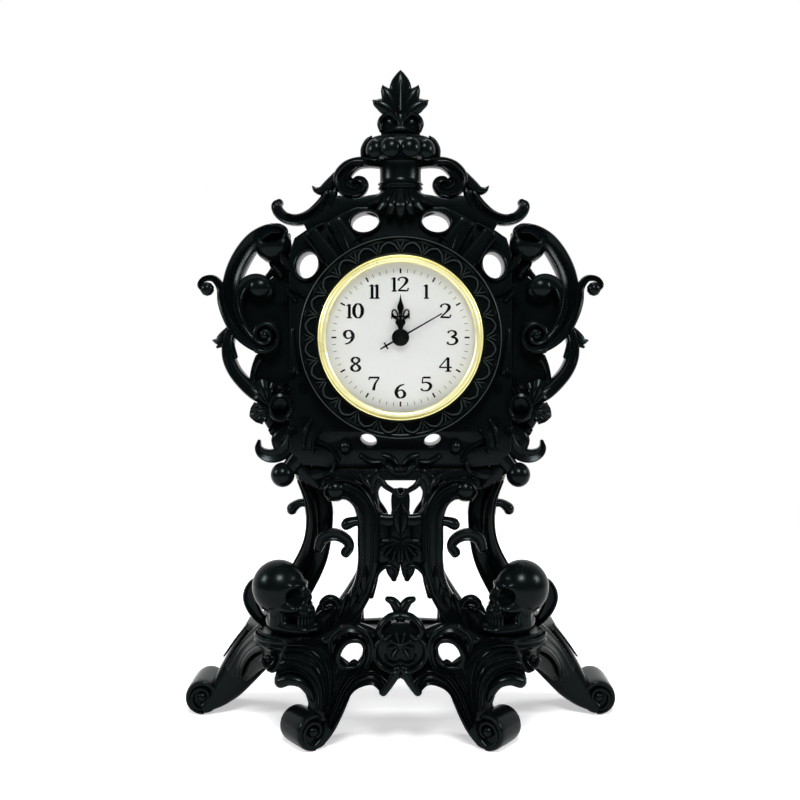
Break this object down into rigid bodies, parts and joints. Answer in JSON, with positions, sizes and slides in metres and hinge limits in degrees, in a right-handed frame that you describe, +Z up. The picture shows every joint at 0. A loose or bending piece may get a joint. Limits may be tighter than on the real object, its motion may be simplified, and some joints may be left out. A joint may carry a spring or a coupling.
{
  "type": "ornamental quartz table clock",
  "caption": "Baroque openwork mantel clock with skulls on a scroll-legged base and a push-in quartz dial insert that pulls out and keeps time with geared hands.",
  "frame": {"origin": "on the table, under the middle of the clock's bounding box", "axes": "+Z up, -Y out of the dial towards the viewer, +X to the viewer's right"},
  "size_m": [0.2022, 0.077, 0.2989],
  "materials": {
    "black_resin": "satin",
    "champagne_bezel": "satin",
    "clear_lens": "gloss",
    "dial_card": "matte",
    "black_lacquer": "satin",
    "black_plastic": "matte",
    "rubber": "matte",
    "white_plastic": "satin",
    "steel": "satin",
    "copper_wire": "satin",
    "circuit_board": "matte"
  },
  "bodies": {
    "case": {"base_casting": "black_resin", "leg_front_left": "black_resin", "leg_front_right": "black_resin", "leg_rear_left": "black_resin", "leg_rear_right": "black_resin", "skull_left": "black_resin", "skull_right": "black_resin", "waist_front": "black_resin", "waist_back": "black_resin", "side_blade_left": "black_resin", "side_blade_right": "black_resin", "dial_housing": "black_resin", "dial_ring": "black_resin", "wing_left": "black_resin", "wing_right": "black_resin", "crest": "black_resin", "urn": "black_resin", "finial": "black_resin"},
    "insert": {"bezel": "champagne_bezel", "lens": "clear_lens", "dial": "dial_card", "insert_cup": "black_plastic", "rubber_band": "rubber", "movement_case": "white_plastic", "movement_back": "white_plastic", "stator": "steel", "coil": "copper_wire", "circuit_board": "circuit_board", "clock_chip": "black_plastic", "crystal_can": "steel", "battery_cell": "steel", "contact_minus": "steel", "contact_plus": "steel"},
    "minute": {"minute_hand": "black_lacquer", "cannon_pinion": "steel"},
    "hour": {"hour_hand": "black_lacquer", "hour_wheel": "white_plastic"},
    "setting": {"minute_wheel": "white_plastic", "setting_knob": "black_plastic"},
    "seconds": {"seconds_hand": "black_lacquer", "seconds_wheel": "white_plastic"},
    "third": {"third_wheel": "white_plastic"},
    "centre": {"centre_wheel": "white_plastic"},
    "intermediate": {"intermediate_wheel": "white_plastic"},
    "rotor": {"rotor": "steel"}
  },
  "joints": [
    {"name": "insert_pull", "type": "slide", "parent": "case", "child": "insert", "axis": [0, -1, 0], "range_m": [0, 0.04]},
    {"name": "minute_spin", "type": "hinge", "parent": "insert", "child": "minute", "pos_m": [0, -0.00453, 0.177], "axis": [0, 1, 0], "continuous": true},
    {"name": "hour_spin", "type": "hinge", "parent": "insert", "child": "hour", "pos_m": [0, -0.00453, 0.177], "axis": [0, 1, 0], "continuous": true},
    {"name": "setting_spin", "type": "hinge", "parent": "insert", "child": "setting", "pos_m": [-0.004, -0.00453, 0.18393], "axis": [0, 1, 0], "continuous": true},
    {"name": "seconds_spin", "type": "hinge", "parent": "insert", "child": "seconds", "pos_m": [0, -0.00453, 0.177], "axis": [0, 1, 0], "continuous": true},
    {"name": "third_spin", "type": "hinge", "parent": "insert", "child": "third", "pos_m": [0.00719, -0.00453, 0.17962], "axis": [0, 1, 0], "continuous": true},
    {"name": "centre_spin", "type": "hinge", "parent": "insert", "child": "centre", "pos_m": [0, -0.00453, 0.177], "axis": [0, 1, 0], "continuous": true},
    {"name": "intermediate_spin", "type": "hinge", "parent": "insert", "child": "intermediate", "pos_m": [0.00163, -0.00453, 0.17091], "axis": [0, 1, 0], "continuous": true},
    {"name": "rotor_spin", "type": "hinge", "parent": "insert", "child": "rotor", "pos_m": [-0.00305, -0.00453, 0.16821], "axis": [0, 1, 0], "continuous": true}
  ],
  "couplings": [
    {"joint": "hour_spin", "follows": "minute_spin", "ratio": 0.083333},
    {"joint": "setting_spin", "follows": "minute_spin", "ratio": -0.33333},
    {"joint": "third_spin", "follows": "seconds_spin", "ratio": -0.13333},
    {"joint": "centre_spin", "follows": "seconds_spin", "ratio": 0.016667},
    {"joint": "intermediate_spin", "follows": "seconds_spin", "ratio": -6},
    {"joint": "rotor_spin", "follows": "seconds_spin", "ratio": 30}
  ]
}
